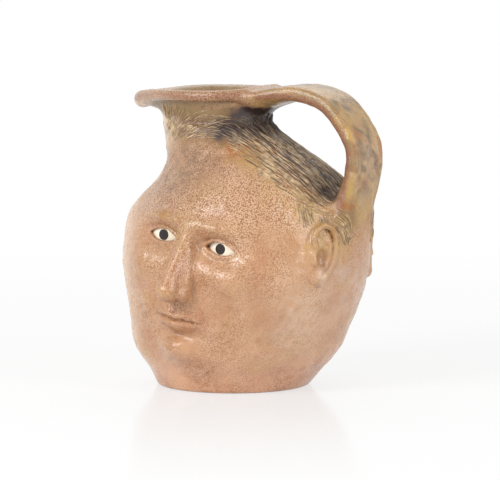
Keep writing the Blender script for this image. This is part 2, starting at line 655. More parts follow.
def add_eye(clay, field, side):
    """Wraps the lids over an eyeball, opens them and presses in their creases."""
    middle, axes = eye_frame(side)
    pick, places = clay.around(middle - (19, 14, 16), middle + (19, 16, 16))
    across, up, out = np.moveaxis((places - middle) @ axes.T, -1, 0)
    ball = np.sqrt(across ** 2 + up ** 2 + (out + EYE_RADIUS) ** 2)
    lids = np.maximum(ball - (EYE_RADIUS + 1.5), -(out + 9.0))
    face = joined(field[pick], lids, 4.2)
    upper, lower = eye_edges(side, across)
    reach = 1 - ease(7.5, 12.5, np.abs(across))
    outer = 1 - ease(8.5, 13.5, side * across)
    share = across / (EYE_WIDTH / 2)
    upper_crease, lower_crease = 6.3 - 2.6 * share ** 2, 6.4 - 2.2 * share ** 2
    face += 0.9 * bell((up - upper_crease) / 0.95) * np.minimum(reach + 0.15, 1) * (out > -8)
    face -= 0.45 * bell((up - upper - 0.7) / 0.75) * reach
    face -= 0.4 * bell((up + lower + 0.8) / 0.8) * reach
    face += 0.45 * bell((up + lower_crease) / 1.2) * reach * outer
    almond = np.maximum(up - upper, -lower - up) / np.sqrt(1 + (0.9 * share) ** 2)
    almond = np.maximum(almond, np.abs(across) - EYE_WIDTH / 2)
    pocket = np.maximum(almond, (EYE_RADIUS - 0.4) - ball)
    field[pick] = cut(face, pocket, 0.7)


def add_ear(clay, field):
    """Models the low ear beside the front face, on the handle's side."""
    height = CHIN_HEIGHT + EAR_LINE
    middle = wall_points(height, EAR_ANGLE)
    out = wall_points(height, EAR_ANGLE, 1.0) - middle
    leaning = np.array([TILT_SIN, 0, TILT_COS])
    back = np.cross(leaning, out)
    back /= np.linalg.norm(back)
    up = leaning - out * (leaning @ out)
    up /= np.linalg.norm(up)
    axes = np.array([back, up, out])
    pick, places = clay.around(middle - (22, 22, 26), middle + (22, 22, 26))

    def mass(place, radii):
        return egg(places, middle + place @ axes, axes, radii)

    ear = joined(field[pick], mass((0.3, 0.5, -1.2), (8.6, 16.6, 3.6)), 2.2)
    for fillet, stops in EAR_ROLLS:
        ear = joined(ear, roll(places, [(middle + place @ axes, radius)
                                        for *place, radius in stops]), fillet)
    ear = joined(ear, mass((-0.8, -13.6, 0.4), (4.6, 4.4, 2.7)), 1.6)
    field[pick] = cut(ear, mass((-0.2, -1.6, 2.6), (3.4, 5.6, 2.7)), 1.2)


def model_clay(sizes):
    """Throws, lays on and smooths all the clay of the jug, and returns its skin."""
    clay = Clay(sizes.clay_grain / MM)
    collar, throat = (clay.distances(body) for body in collar_bodies())
    field = joined(clay.distances(head_body()), collar, NECK_FILLET)
    strap = clay.distances(loft(strap_rings()))
    smeared = ease(132, 112, clay.axes[2]) * (sizes.root_fillet - sizes.strap_fillet)
    field = joined(field, strap, (sizes.strap_fillet + smeared) / MM)
    field = cut(field, throat, BRIM_ROUNDING)
    clay.press(field, FINGER_DEPTH, FINGER_SIZE, 41)
    add_nose(clay, field, sizes.nose_fillet / MM)
    for side in (-1, 1):
        add_eye(clay, field, side)
    add_ear(clay, field)
    return clay.skin(field)


# Meshes.


def mesh_of(name, points, quads, triangles):
    """A mesh of points in metres and faces of four and three corners."""
    mesh = bpy.data.meshes.new(name)
    corners = np.concatenate([np.ravel(quads), np.ravel(triangles)]).astype(np.int32)
    sides = np.concatenate([np.full(len(quads), 4), np.full(len(triangles), 3)]).astype(np.int32)
    mesh.vertices.add(len(points))
    mesh.vertices.foreach_set("co", np.ravel(points).astype(np.float32))
    mesh.loops.add(len(corners))
    mesh.loops.foreach_set("vertex_index", corners)
    mesh.polygons.add(len(sides))
    starts = np.concatenate([[0], np.cumsum(sides)[:-1]]).astype(np.int32)
    mesh.polygons.foreach_set("loop_start", starts)
    mesh.update(calc_edges=True)
    mesh.validate()
    return mesh


def put(name, mesh):
    """A new object of a mesh, at the origin."""
    piece = bpy.data.objects.new(name, mesh)
    bpy.context.scene.collection.objects.link(piece)
    return piece


def face_outwards(mesh):
    """Turns a closed mesh's faces outwards."""
    work = bmesh.new()
    work.from_mesh(mesh)
    bmesh.ops.recalc_face_normals(work, faces=work.faces)
    work.to_mesh(mesh)
    work.free()


def body_mesh(name, body):
    """A closed body's mesh from its points and faces in millimetres, faces outwards."""
    points, quads, triangles = body
    mesh = mesh_of(name, points * MM, quads, triangles)
    face_outwards(mesh)
    return mesh


def block(low, high):
    """A scratch block between two corners in millimetres."""
    mesh = bpy.data.meshes.new("block")
    work = bmesh.new()
    bmesh.ops.create_cube(work, size=1)
    size, middle = np.subtract(high, low) * MM, np.add(high, low) * MM / 2
    bmesh.ops.scale(work, vec=size, verts=work.verts)
    bmesh.ops.translate(work, vec=middle, verts=work.verts)
    work.to_mesh(mesh)
    work.free()
    return put("block", mesh)


def evaluated_mesh(piece):
    """A new mesh of a piece as its modifiers leave it."""
    bpy.context.view_layer.update()
    evaluated = piece.evaluated_get(bpy.context.evaluated_depsgraph_get())
    result = bpy.data.meshes.new_from_object(evaluated)
    if not result.polygons:
        raise RuntimeError(f"{piece.name} came out empty")
    return result


def combined(mesh, steps):
    """A mesh after solid steps, each a way of combining and the scratch object it combines with."""
    scratch = put("scratch", mesh)
    for way, tool in steps:
        step = scratch.modifiers.new(way, "BOOLEAN")
        step.operation, step.solver, step.object = way, "MANIFOLD", tool
    result = evaluated_mesh(scratch)
    bpy.data.objects.remove(scratch)
    return result


def thinned(mesh, most):
    """A mesh with at most a number of triangles, untouched beside its seams with other pieces."""
    scratch = put("scratch", mesh)
    x, y, z = read_points(mesh).T / MM
    free = (np.abs(y) > SEAM_CLEARANCE) & (z < JOINT_HEIGHT - 2)
    free &= (x < STRAP_CUT_X - 1) | (np.abs(y) > STRAP_CUT_Y + 1)
    group = scratch.vertex_groups.new(name="free")
    group.add(np.flatnonzero(free).tolist(), 1.0, "REPLACE")
    corners = sum(polygon.loop_total - 2 for polygon in mesh.polygons)
    step = scratch.modifiers.new("thinned", "DECIMATE")
    step.ratio, step.vertex_group = min(1.0, most / corners), group.name
    result = evaluated_mesh(scratch)
    bpy.data.objects.remove(scratch)
    return result


def read_points(mesh):
    """A mesh's points in metres."""
    points = np.empty(len(mesh.vertices) * 3, np.float32)
    mesh.vertices.foreach_get("co", points)
    return points.reshape(-1, 3).astype(float)


def keep_values(mesh, name, values):
    """Keeps one number for each point of a mesh."""
    attribute = mesh.attributes.new(name, "FLOAT", "POINT")
    attribute.data.foreach_set("value", np.ascontiguousarray(values, np.float32))


def shade_smooth(mesh, sharp_degrees=48):
    """Smooths a mesh's shading except over its sharp edges."""
    mesh.polygons.foreach_set("use_smooth", np.ones(len(mesh.polygons), bool))
    mesh.set_sharp_from_angle(angle=math.radians(sharp_degrees))


def crease_depth(mesh, points, passes=6):
    """How hollow a mesh is about each point, in millimetres, above 0 in a crease."""
    edges = np.empty(len(mesh.edges) * 2, np.int32)
    mesh.edges.foreach_get("vertices", edges)
    one, two = edges.reshape(-1, 2).T
    count = np.bincount(edges, minlength=len(points))[:, None]
    normals = np.empty(len(points) * 3, np.float32)
    mesh.vertices.foreach_get("normal", normals)
    smooth = points.copy()
    for _ in range(passes):
        total = np.stack([
            np.bincount(one, smooth[two, axis], len(points))
            + np.bincount(two, smooth[one, axis], len(points)) for axis in range(3)], -1)
        smooth = total / np.maximum(count, 1)
    return np.sum((smooth - points) * normals.reshape(-1, 3), axis=1) / MM


# Where the slips and glazes lie.


def wander(points, scale, seed):
    """A smooth random number about 0 for each point, with features of a given size, mostly
    between -1 and 1."""
    chance = np.random.default_rng(seed)
    waves = chance.normal(size=(9, 3))
    waves *= (0.6 + chance.random((9, 1))) / np.linalg.norm(waves, axis=1, keepdims=True)
    phases = chance.random(9) * 2 * math.pi
    return np.sin(points @ waves.T * (2 * math.pi / scale) + phases).mean(axis=1) * 1.8


def hair_depth(points):
    """How far inside the hairline each point in millimetres lies, below 0 on bare skin."""
    across, up = sheet_place(points[:, 0], points[:, 2])
    edge = np.interp(across, HAIRLINE[:, 0], HAIRLINE[:, 1])
    return up - edge + 1.5 * wander(points, 16, 3)


def spots(points, name):
    """How strongly the soft spots of a name show at points, on the front and the back alike."""
    folded = points * (1, 0, 1) - np.abs(points) * (0, 1, 0)
    return sum(strength * bell(np.linalg.norm(folded - place, axis=1) / size)
               for strength, place, size in SPOTS[name])


def strap_share(points):
    """How much of the handle's finish each point has: 1 on the strap, 0 on the head."""
    x, y, z = points.T
    length, width, shift = wall_oval(np.clip(z, 0, NECK_HEIGHT))
    outside = (np.hypot((x - shift) / length, y / width) - 1) * length
    return ease(1.5, 6, outside) * ease(84, 112, z) * np.where(z > 140, ease(20, 34, x), 1)


def slip_values(points):
    """Where each slip and glaze lies at points in millimetres, each from 0 to 1."""
    x, y, z = points.T
    depth, strap, neck = hair_depth(points), strap_share(points), ease(138, 149, z)
    bare, rim = 1 - strap, ease(159, 166, z)
    inside = ease(1.0, 0.84, np.hypot((x + 16) / 40, y / 30)) * ease(154, 160, z) * bare
    on_hair = ease(-0.5, 4, depth) * ease(-16, 8, x) * (1 - ease(150, 158, z)) * bare
    on_hair *= 0.5 + 0.5 * ease(3, 13, depth)
    on_hair += spots(points, "hair_ground")
    crown = ease(4, 20, depth) * (0.42 + 0.62 * bell(y / 22.0)) * ease(0, 20, x) * bare
    neck_patch = bell((x - 18) / 16.0) * bell((z - 154) / 9.0) * bell(y / 32.0) * (1 - inside)
    root = spots(points, "root") * ease(84, 78, x)
    dark = crown + 1.1 * neck_patch + 1.1 * root + spots(points, "dark_slip")
    dark *= (0.9 + 0.4 * wander(points, 9, 5)) * (1 - ease(161, 165, z))
    ochre = bell((depth + 1) / 5.0) * (0.45 + 0.5 * wander(points, 12, 11))
    ochre = (ochre + 0.3 * ease(0.2, 0.9, wander(points, 26, 53))) * (1 - neck)
    ochre += strap * (0.72 + 0.35 * wander(points, 24, 29)) + 0.9 * inside
    ochre += spots(points, "ochre_slip")
    rust = 0.4 * ease(0.3, 0.8, wander(points, 8, 31)) * ease(6, 12, np.abs(y))
    rust += 0.8 * ease(-0.1, 0.7, wander(points, 14, 61)) * ease(160, 148, z)
    rust = strap * rust + spots(points, "rust")
    lip_side = ease(-14, -38, x) * ease(132, 148, z)
    bloom = ease(70, 84, x) * (1 - ease(66, 96, z)) * ease(20, 44, z) * (1 - strap)
    bloom += 0.9 * lip_side * (1 - np.maximum(inside, 0.6 * rim))
    bloom += ease(-34, -60, x) * (1 - ease(104, 128, z)) + spots(points, "bloom")
    bloom = 0.8 * bloom * (0.75 + 0.35 * wander(points, 21, 43)) + 0.5 * strap * ease(87, 94, x)
    flush = 0.3 + 0.75 * wander(points, 34, 17) + spots(points, "flush")
    mottle = wander(points, 24, 37) + 0.55 * wander(points, 9, 47)
    olive = 1.15 * strap * bell(y / 20.0) * ease(-0.2, 0.5, mottle) * ease(106, 126, z)
    olive += spots(points, "olive") + 0.8 * inside
    pale = ease(-24, -58, x) * (1 - ease(100, 124, z)) + spots(points, "pale")
    pale += 1.3 * lip_side * (1 - np.maximum(inside, 0.8 * rim))
    grain = 0.56 + 0.44 * ease(86, 112, z) - 0.12 * ease(30, 60, x) * (1 - ease(90, 110, z))
    grain = grain * (0.7 + 0.3 * ease(40, 80, z)) + 0.3 * wander(points, 30, 23)
    grain *= 1 - 0.65 * np.maximum(strap, neck) * (1 - 0.6 * rim)
    values = {
        "dark_slip": dark, "hair_ground": on_hair, "ochre_slip": ochre, "rust": rust,
        "bloom": bloom, "flush": flush * (1 - neck) * bare, "grain": grain, "olive": olive,
        "pale": pale, "neck": neck * bare * (1 - 0.5 * rim * (1 - inside)), "strap": strap,
        "foot": 1 - ease(5, 34, z)}
    return {name: np.clip(value, 0, 1) for name, value in values.items()}


def nearness(points, lines, size):
    """How near each point in millimetres is to a set of others, 1 at them and 0 far away."""
    tree = KDTree(len(lines))
    for at, place in enumerate(lines):
        tree.insert(place, at)
    tree.balance()
    values = np.zeros(len(points))
    for at in np.flatnonzero(points[:, 2] > 100):
        values[at] = bell(tree.find(points[at])[2] / size)
    return values


def edge_values(points):
    """How near each point in millimetres is to the rim's bead or to an edge of the strap."""
    middle, outwards, radius = rim_bead(turned(240))
    # The strap's rings away from its ends, and the two sides that are its outer edges.
    rings = strap_rings(120, 96)[12:94]
    strap = np.concatenate([rings[:, 93], rings[:, 51]])
    return np.maximum(0.6 * nearness(points, middle + outwards * radius[:, None], 2.0),
                      1.2 * nearness(points, strap, 2.1))


def dress_values(mesh):
    """Keeps on a mesh where each slip, glaze, crease and edge lies."""
    points = read_points(mesh)
    for name, value in slip_values(points / MM).items():
        keep_values(mesh, name, value)
    keep_values(mesh, "crease", crease_depth(mesh, points))
    keep_values(mesh, "edge", edge_values(points / MM))


# Materials.


def add(tree, kind, inputs=None, **settings):
    """Adds a node with its settings, gives its inputs values or links, and returns its outputs."""
    node = tree.nodes.new(kind)
    for key, value in settings.items():
        setattr(node, key, value)
    for key, value in (inputs or {}).items():
        socket = node.inputs[key]
        if isinstance(value, bpy.types.NodeSocket):
            tree.links.new(value, socket)
        elif socket.type == "RGBA":
            socket.default_value = (*value[:3], 1)
        else:
            socket.default_value = value
    return node.outputs


def new_material(name, attributes=(), noises=()):
    """A material, its node tree, the place on the piece, the values that the piece keeps, and
    soft noise over the clay, one for each size in millimetres and detail."""
    material = bpy.data.materials.new(name)
    material.use_nodes = True
    tree = material.node_tree
    tree.nodes.clear()
    place = add(tree, "ShaderNodeTexCoord")["Object"]
    values = {key: add(tree, "ShaderNodeAttribute", attribute_name=key)["Fac"]
              for key in attributes}
    clouds = [add(tree, "ShaderNodeTexNoise", {
        "Vector": place, "Scale": 1 / (size * MM), "Detail": detail, "Roughness": 0.55})["Fac"]
        for size, detail in noises]
    return material, tree, place, values, clouds


def painted(tree, base, *coats):
    """The base colour under coat after coat. Each is a colour and what its share is the product
    of: numbers, values, or a source that lets it show between a low and a high value."""
    for colour, *parts in coats:
        share = None
        for part in parts:
            if isinstance(part, tuple):
                source, low, high = part
                part = add(tree, "ShaderNodeMapRange", {
                    "Value": source, "From Min": low, "From Max": high},
                    interpolation_type="SMOOTHSTEP")["Result"]
            share = part if share is None else add(
                tree, "ShaderNodeMath", {0: share, 1: part}, operation="MULTIPLY")[0]
        base = add(tree, "ShaderNodeMix", {0: share, 6: base, 7: colour}, data_type="RGBA")[2]
    return base


def glazed(tree, base, roughness, strength, depth, height):
    """Closes a material with its coat of glaze: its gloss, and the small bumps in its skin."""
    bump = add(tree, "ShaderNodeBump", {
        "Strength": strength, "Distance": depth * MM, "Height": height})
    shader = add(tree, "ShaderNodeBsdfPrincipled", {
        "Base Color": base, "Roughness": roughness, "IOR": 1.5, "Normal": bump[0]})
    add(tree, "ShaderNodeOutputMaterial", {"Surface": shader[0]})


def salt_glaze(name, colours):
    """Salt-glazed stoneware. Salt thrown into the kiln settles as a thin, clear, satin glass with
    the grain of orange peel, 1.2 to 1.5 mm apart: pale beads with iron brown showing between."""
    material, tree, place, values, (cloud, patch) = new_material(name, (
        "dark_slip", "hair_ground", "ochre_slip", "rust", "bloom", "flush", "grain", "olive",
        "neck", "strap", "foot", "crease", "edge", "pale"), ((15, 3.0), (5, 3.0)))
    # Cells of 0.78 mm. Only those with their middle near the skin show as pale beads, which puts
    # the beads about 1 to 1.2 mm apart.
    beads = add(tree, "ShaderNodeTexVoronoi", {
        "Vector": place, "Scale": 1 / (0.78 * MM)}, feature="F1")["Distance"]
    thin = add(tree, "ShaderNodeMapRange", {
        "Value": beads, "From Min": 0.34, "From Max": 0.74, "To Min": 0.55, "To Max": 0.95},
        interpolation_type="SMOOTHSTEP")["Result"]
    slip = add(tree, "ShaderNodeMath", {0: patch, 1: 0.6, 2: values["dark_slip"]},
               operation="MULTIPLY_ADD")[0]
    thrown = painted(tree, linear("#583b17"), (linear("#6d4820"), (patch, 0.3, 0.7)))
    base = painted(
        tree, colours.buff,
        (linear("#ad7f58"), (cloud, 0.36, 0.64)),
        (thrown, values["neck"]),
        (linear("#967752"), values["strap"]),
        (linear("#cf9f80"), values["foot"], 0.8),
        (colours.flush, values["flush"], (patch, 0.2, 0.75)),
        (linear("#e9cfae"), values["grain"], (beads, 0.74, 0.34), 0.34),
        (colours.speckle, values["grain"], (beads, 0.34, 0.74), 0.66),
        (colours.ochre, values["ochre_slip"], (patch, 0.25, 0.6), 0.85),
        (colours.bloom, values["bloom"], (patch, 0.2, 0.7), 0.7),
        (linear("#e6cdb2"), values["pale"], (patch, 0.05, 0.7), 0.75),
        (colours.rust, values["rust"], (patch, 0.25, 0.55), 0.8),
        (colours.olive, values["olive"], (patch, 0.1, 0.75), 0.95),
        (linear("#4c382a"), values["hair_ground"], 0.85),
        (colours.dark_slip, (slip, 0.38, 1.1), 0.94),
        (colours.edge, values["edge"], thin),
        (linear("#66402b"), (values["crease"], 0.07, 0.4), 0.6))
    rough = add(tree, "ShaderNodeMapRange", {
        "Value": cloud, "From Min": 0.3, "From Max": 0.7, "To Min": 0.16, "To Max": 0.32})
    raised = add(tree, "ShaderNodeMath", {0: beads, 1: -1.0}, operation="MULTIPLY")[0]
    glazed(tree, base, rough["Result"], 0.5, 0.25, raised)
    return material


def hair_clay(colours):
    """Rolled strokes of the same clay, brushed with dark slip and wiped, which leaves worn, satin,
    light strokes among dark ones."""
    material, tree, _, values, (wear, fine) = new_material(
        "wiped hair slip on stoneware", ("ochre_slip", "tone"), ((3, 2.0), (0.9, 1.0)))
    ridge = painted(tree, colours.hair_light, (colours.ochre, values["ochre_slip"]),
                    (linear("#927657"), (wear, 0.35, 0.7)))
    base = painted(tree, linear("#40312a"), (ridge, values["tone"]))
    glazed(tree, base, 0.36, 0.25, 0.2, fine)
    return material


def white_glaze(colours):
    """White clay under the same salt glaze: smoother, cream, with brown gathered at its edges."""
    material, tree, _, values, (cloud, fine) = new_material(
        "white clay under salt glaze", ("rim",), ((2.2, 3.0), (1.3, 2.0)))
    base = painted(tree, colours.white_clay, (linear("#cdbb9c"), (cloud, 0.45, 0.75), 0.25),
                   (linear("#8d6a4c"), (values["rim"], 0.72, 1.0), 0.6))
    glazed(tree, base, 0.24, 0.15, 0.15, fine)
    return material


def black_glaze():
    """Near-black slip with the glaze lying thick and glossy over it."""
    material, tree, _, _, (cloud,) = new_material(
        "black slip under salt glaze", noises=((1.5, 2.0),))
    base = painted(tree, linear("#14100e"), (linear("#2a1f19"), cloud))
    glazed(tree, base, 0.16, 0.1, 0.1, cloud)
    return material


# Pieces.


def settle(piece, material, nodes):
    """Gives a finished piece its material, slot, body and the CAD nodes that it stands for."""
    piece.data.materials.clear()
    piece.data.materials.append(material)
    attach(piece, "root")
    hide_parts(*nodes)


def face_nodes(face):
    """The CAD nodes that are smoothed into one face of the head."""
    halves = ("upper", "lower")
    lids = [f"{half}_lid_{edge}_{face}" for half in halves for edge in ("spout", "handle")]
    lips = [f"{half}_lip_{face}" for half in halves]
    return ["head_wall", f"nose_{face}", *lips, f"ear_{face}", *lids]


class FACEJUG_OT_clay(Operator):
    """Models the jug's clay as one skin and cuts it into its head, neck and handle"""

    bl_idname = "facejug.clay"
    bl_label = "Model the clay"

    def execute(self, context):
        sizes, colours = context.scene.facejug_sizes, context.scene.facejug_colours
        points, triangles, quads = model_clay(sizes)
        whole = mesh_of("clay", points, quads, triangles)
        face_outwards(whole)
        hollow = put("hollow", body_mesh("hollow", hollow_body()))
        grown = [wall_points(z, turned(360), 1.5, broad_relief) for z in np.arange(-4, 150.1, 1.5)]
        wall = put("wall", body_mesh("wall", loft(np.array(grown))))
        beside, between_ears, above, front, back = (block(*corners) for corners in (
            ((STRAP_CUT_X, -STRAP_CUT_Y, 113), (110, STRAP_CUT_Y, 200)),
            ((STRAP_CUT_X, -EAR_CUT_Y, 40), (110, EAR_CUT_Y, 150)),
            ((-100, -100, JOINT_HEIGHT), (STRAP_CUT_X, 100, 200)),
            ((-120, -120, -20), (120, 0, JOINT_HEIGHT)),
            ((-120, 0, -20), (120, 120, JOINT_HEIGHT))))
        strap_side = put("strap side", combined(
            beside.data.copy(), [("UNION", between_ears), ("DIFFERENCE", wall)]))
        head = [("DIFFERENCE", hollow), ("DIFFERENCE", strap_side)]
        cuts = (
            ("head_front_clay", [*head, ("INTERSECT", front)], face_nodes("front"), "salt_glaze"),
            ("head_back_clay", [*head, ("INTERSECT", back)], face_nodes("back"), "salt_glaze"),
            ("neck_and_rim_clay", [("INTERSECT", above)], ["neck_collar"], "neck_glaze"),
            ("strap_handle_clay", [("INTERSECT", strap_side)], ["strap_handle"], "handle_glaze"))
        finishes = {slot: salt_glaze(f"salt-glazed {kind} stoneware", colours) for slot, kind in (
            ("salt_glaze", "buff"), ("neck_glaze", "ochre"), ("handle_glaze", "mottled"))}
        for name, steps, nodes, slot in cuts:
            mesh = combined(whole.copy(), steps)
            if name.startswith("head"):
                mesh = thinned(mesh, sizes.head_faces)
            mesh.name = name
            shade_smooth(mesh)
            dress_values(mesh)
            settle(put(name, mesh), finishes[slot], nodes)
        for tool in (hollow, wall, beside, between_ears, strap_side, above, front, back):
            bpy.data.objects.remove(tool)
        return {"FINISHED"}


def cap_body(axes, middle, outline, proud, back, rings=14):
    """A closed cap of an eyeball: rings of an outline that shrink to its middle over the ball's
    front, which stands proud of its foremost point, and a flat back."""
    layers = [np.column_stack([outline * 0.5, np.full(len(outline), back)]),
              np.column_stack([outline, np.full(len(outline), back)])]
    for share in np.linspace(1, 0.04, rings):
        ring = outline * share
        fall = np.sqrt(EYE_RADIUS ** 2 - np.hypot(*ring.T) ** 2) - EYE_RADIUS
        layers.append(np.column_stack([ring, fall + proud]))
    return loft(np.array([middle + layer @ axes for layer in layers]))


def eye_bodies(side):
    """The front eye's white clay and its dark disc, as closed bodies."""
    middle, axes = eye_frame(side)
    turn = turned(72)
    cos, sin = np.cos(turn), np.sin(turn)
    upper, lower = eye_edges(side, cos * EYE_WIDTH / 2)
    up = np.where(sin >= 0, upper + 0.9, -lower - 0.9) * np.clip(np.abs(sin) * 3, 0, 1)
    outline = np.column_stack([cos * (EYE_WIDTH / 2 + 0.6), up])
    seat = middle + np.array([0, IRIS_RAISE, 0]) @ axes
    disc = np.column_stack([cos, sin]) * IRIS_RADIUS
    return (cap_body(axes, middle, outline, 0.0, -4.8), cap_body(axes, seat, disc, 0.22, -1.6))


def lid_nearness(mesh, side, mirror):
    """How near each point of an eye's white clay is to the edge of a lid, 1 at the edge."""
    middle, axes = eye_frame(side)
    across, up, _ = ((read_points(mesh) / MM * (1, mirror, 1) - middle) @ axes.T).T
    upper, lower = eye_edges(side, across)
    return np.where(up > 0, up / (upper + 0.6), -up / (lower + 0.6))


class FACEJUG_OT_eyes(Operator):
    """Lets the white clay and the dark disc of each eye into both faces"""

    bl_idname = "facejug.eyes"
    bl_label = "Let in the eyes"

    def execute(self, context):
        colours = context.scene.facejug_colours
        kinds = (("eye_white", white_glaze(colours), "white_clay"),
                 ("iris", black_glaze(), "dark_slip"))
        for face, mirror in (("front", 1), ("back", -1)):
            for edge, side in (("spout", -1), ("handle", 1)):
                for (name, material, slot), body in zip(kinds, eye_bodies(side)):
                    points, quads, triangles = body
                    node = f"{name}_{edge}_{face}"
                    mesh = body_mesh(f"{node}_clay", (points * (1, mirror, 1), quads, triangles))
                    shade_smooth(mesh)
                    if name == "eye_white":
                        keep_values(mesh, "rim", lid_nearness(mesh, side, mirror))
                    settle(put(mesh.name, mesh), material, [node])
        return {"FINISHED"}


def stroke_tree():
    """The Geometry Nodes that turn each line of points into one stroke of hair, and the
    identifiers of their inputs."""
    tree = bpy.data.node_groups.new("Hair strokes", "GeometryNodeTree")
    sockets = {}
    for name, kind in (("Lines", "Geometry"), ("Width", "Float"), ("Sides", "Int"),
                       ("Clay", "Material")):
        sockets[name] = tree.interface.new_socket(
            name, in_out="INPUT", socket_type=f"NodeSocket{kind}").identifier
    tree.interface.new_socket("Strokes", in_out="OUTPUT", socket_type="NodeSocketGeometry")
    given = add(tree, "NodeGroupInput")
    taper = add(tree, "GeometryNodeInputNamedAttribute", {"Name": "taper"}, data_type="FLOAT")
    width = add(tree, "ShaderNodeMath", {0: given["Width"], 1: taper["Attribute"]},
                operation="MULTIPLY")
    radius = add(tree, "ShaderNodeMath", {0: width[0], 1: 0.5}, operation="MULTIPLY")
    profile = add(tree, "GeometryNodeCurvePrimitiveCircle", {
        "Resolution": given["Sides"], "Radius": 1.0})
    curves = add(tree, "GeometryNodeMeshToCurve", {0: given["Lines"]})
    sweep = add(tree, "GeometryNodeCurveToMesh", {
        "Curve": curves[0], "Profile Curve": profile[0], "Scale": radius[0], "Fill Caps": True})
    smooth = add(tree, "GeometryNodeSetShadeSmooth", {0: sweep[0]})
    real = add(tree, "GeometryNodeRealizeInstances", {0: smooth[0]})
    clay = add(tree, "GeometryNodeSetMaterial", {"Geometry": real[0], "Material": given["Clay"]})
    add(tree, "NodeGroupOutput", {0: clay[0]})
    return tree, sockets


def along_skin(degrees, normal):
    """The way along the skin that is seen from the front at degrees above the handle's side."""
    turn = math.radians(degrees)
    way = Vector((math.cos(turn), 0, math.sin(turn)))
    return (way - normal * way.dot(normal)).normalized()


def comb(skin, place, heading, length, steps=7):
    """A stroke's points from a place on the skin, by a heading for each share of its length."""
    place, normal, _, _ = skin.find_nearest(place)
    line = [place + normal * STROKE_LIFT * MM]
    for step in range(1, steps):
        way = along_skin(heading(np.array(place) / MM, step / (steps - 1)), normal)
        place, normal, _, _ = skin.find_nearest(place + way * (length / (steps - 1)) * MM)
        line.append(place + normal * STROKE_LIFT * MM)
    return line


def hair_heading(here, share):
    """The heading of the comb at a place in millimetres."""
    depth = float(hair_depth(here[None])[0])
    flat = 30 * float(ease(34, 50, here[0]) * (1 - ease(1, 13, depth)))
    return np.interp(here[0], HEADING[:, 0], HEADING[:, 1]) + flat


def comb_hair(sizes, skin):
    """Combs strokes along the skin all over the hair, none starting nearer than the gap to another."""
    chance = np.random.default_rng(sizes.hair_seed)
    gap, strokes, tones, widths, taken = sizes.stroke_gap, [], [], [], {}

    def cell(point):
        return tuple(math.floor(value / gap) for value in point)

    def crowded(point, limit):
        reach = [(at - 1, at, at + 1) for at in cell(point)]
        return any((other - point).length < limit
                   for near in itertools.product(*reach) for other in taken.get(near, ()))

    for _ in range(sizes.hair_strokes * 14):
        if len(strokes) >= sizes.hair_strokes:
            break
        height, turn = chance.uniform(*HAIR_HEIGHTS), chance.uniform(0, 2 * math.pi)
        x, y, _ = wall_points(min(height, NECK_HEIGHT), turn, 0.0, broad_relief)
        place, _, _, away = skin.find_nearest(Vector((x, y, height)) * MM)
        here = np.array(place) / MM
        on_neck = here[0] < 4 and here[2] > 140
        depth = hair_depth(here[None])[0]
        if away > 9 * MM or depth < -1.5 or here[2] > 158 or here[0] > 80:
            continue
        if crowded(place, gap) or strap_share(here[None])[0] > 0.5:
            continue
        reach = chance.uniform(*(NECK_STROKE if on_neck else HEAD_STROKE))
        swing, phase = chance.uniform(6, 19), chance.uniform(0, 2 * math.pi)
        line = comb(skin, place, lambda at, share: (
            hair_heading(at, share) + swing * math.sin(phase + 4 * share)), reach)
        on_strap = strap_share(np.array(line) / MM).max() > 0.6
        if on_strap or sum(crowded(point, gap * 0.62) for point in line) > 2:
            continue
        for one, two in zip(line, line[1:]):
            for point in (one, one.lerp(two, 0.5)):
                taken.setdefault(cell(point), []).append(point)
        strokes.append(line)
        incised = on_neck and chance.random() < 0.45
        dim = incised or chance.random() < 0.2
        faint = 0.45 if on_neck else 0.0
        between = (faint, faint + 0.2) if dim else (0.55 if depth > 8 else 0.8, 1.0)
        tones.append(chance.uniform(*between))
        widths.append(chance.uniform(0.5, 0.75) if incised else chance.uniform(0.75, 1.15))
    return strokes, tones, widths


def lay_locks(sizes, skin):
    """Lays the locks beside the handle's root, on the front and mirrored on the back."""
    chance = np.random.default_rng(sizes.hair_seed + 1)
    strokes, tones, widths = [], [], []
    for x, y, z, heading, turning, reach, count, apart, width in LOCKS:
        for side in (1, -1):
            place, normal, _, _ = skin.find_nearest(Vector((x, y * side, z)) * MM)
            aside = along_skin(heading, normal).cross(normal) * side
            for stroke in range(count):
                start = place + aside * (stroke * apart * MM)
                full = reach * (0.75 + 0.35 * math.sin(math.pi * (stroke + 0.7) / (count + 0.4)))
                sway = chance.uniform(-6, 6)
                line = comb(skin, start, lambda _, share: heading + sway + turning * share,
                            full * chance.uniform(0.85, 1.1), 9)
                strokes.append(line)
                tones.append(chance.uniform(0.62, 1.0))
                widths.append(width * chance.uniform(0.9, 1.1))
    return strokes, tones, widths


def stroke_lines(groups):
    """One mesh of lines for groups of strokes, with the width and tone of each."""
    points, edges, tapers, tints = [], [], [], []
    for strokes, tones, widths in groups:
        for line, tone, width in zip(strokes, tones, widths):
            first, last = len(points), len(line) - 1
            points.extend(line)
            edges.extend((first + step, first + step + 1) for step in range(last))
            tapers.extend(width * math.sin(math.pi * (0.1 + 0.8 * step / last)) ** 0.7
                          for step in range(last + 1))
            tints.extend([tone] * (last + 1))
    mesh = bpy.data.meshes.new("hair lines")
    mesh.from_pydata(points, edges, [])
    values = slip_values(np.array(points) / MM)
    keep_values(mesh, "taper", tapers)
    keep_values(mesh, "tone", np.array(tints) * (1 - 0.87 * values["dark_slip"]))
    keep_values(mesh, "ochre_slip", 0.75 * values["ochre_slip"])
    return mesh


